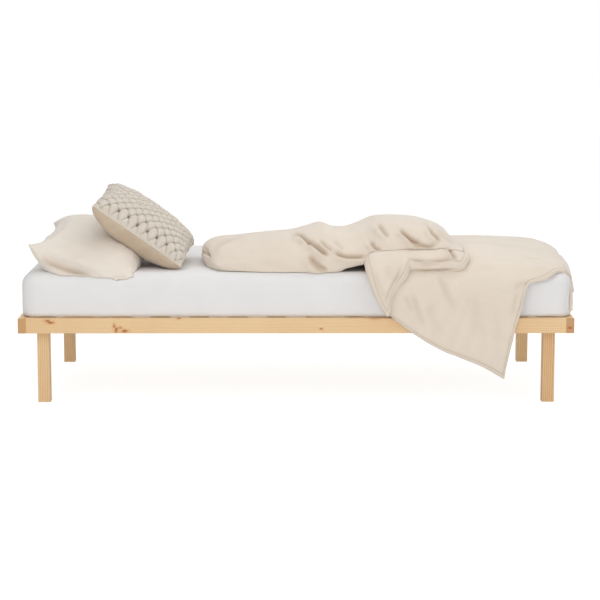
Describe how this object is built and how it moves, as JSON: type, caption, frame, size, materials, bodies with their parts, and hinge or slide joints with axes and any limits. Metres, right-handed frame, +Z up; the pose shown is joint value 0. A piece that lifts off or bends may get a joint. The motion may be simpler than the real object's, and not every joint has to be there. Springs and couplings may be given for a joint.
{
  "type": "single floor bed",
  "caption": "Low pine bed frame on square legs with slats, a mattress in a fitted sheet, pillow, knitted cushion and a duvet turned back.",
  "frame": {"origin": "on the floor, under the middle of the frame", "axes": "+X along the bed towards the foot end, +Y towards the back, +Z up; the front is at -Y"},
  "size_m": [2.0573, 0.9746, 0.7756],
  "materials": {
    "pine": "satin",
    "beech": "matte",
    "zinc_plated_steel": "satin",
    "polyester_tape": "matte",
    "mattress_foam": "matte",
    "white_cotton": "matte",
    "cream_cotton_pillow": "matte",
    "fibre_fill": "matte",
    "knitted_yarn": "matte",
    "beige_cloth": "matte",
    "cream_cotton": "matte"
  },
  "bodies": {
    "frame": {"front_side_rail": "pine", "back_side_rail": "pine", "head_end_rail": "pine", "foot_end_rail": "pine", "front_head_leg": "pine", "back_head_leg": "pine", "front_foot_leg": "pine", "back_foot_leg": "pine", "front_ledger": "pine", "back_ledger": "pine", "slat_01": "pine", "slat_02": "pine", "slat_03": "pine", "slat_04": "pine", "slat_05": "pine", "slat_06": "pine", "slat_07": "pine", "slat_08": "pine", "slat_09": "pine", "slat_10": "pine", "slat_11": "pine", "slat_12": "pine", "slat_13": "pine", "slat_14": "pine", "corner_bolts": "zinc_plated_steel", "barrel_nuts": "zinc_plated_steel", "leg_bolts": "zinc_plated_steel", "leg_washers": "zinc_plated_steel", "rail_inserts": "zinc_plated_steel", "ledger_screws": "zinc_plated_steel", "slat_screws": "zinc_plated_steel", "corner_dowels": "beech", "slat_tapes": "polyester_tape"},
    "mattress": {"mattress_core": "mattress_foam", "fitted_sheet": "white_cotton"},
    "pillow": {"pillowcase": "cream_cotton_pillow", "pillow_filling": "fibre_fill"},
    "cushion": {"cushion_knit_front": "knitted_yarn", "cushion_plain_back": "beige_cloth", "cushion_pad": "fibre_fill"},
    "duvet": {"duvet": "cream_cotton"}
  },
  "joints": [
    {"name": "mattress_lift", "type": "slide", "parent": "frame", "child": "mattress", "axis": [0, 0, 1], "range_m": [0, 0.25]},
    {"name": "pillow_lift", "type": "slide", "parent": "mattress", "child": "pillow", "axis": [0, 0, 1], "range_m": [0, 0.25]},
    {"name": "cushion_lift", "type": "slide", "parent": "pillow", "child": "cushion", "axis": [0, 0, 1], "range_m": [0, 0.35]},
    {"name": "duvet_lift", "type": "slide", "parent": "mattress", "child": "duvet", "axis": [0, 0, 1], "range_m": [0, 0.45]}
  ]
}
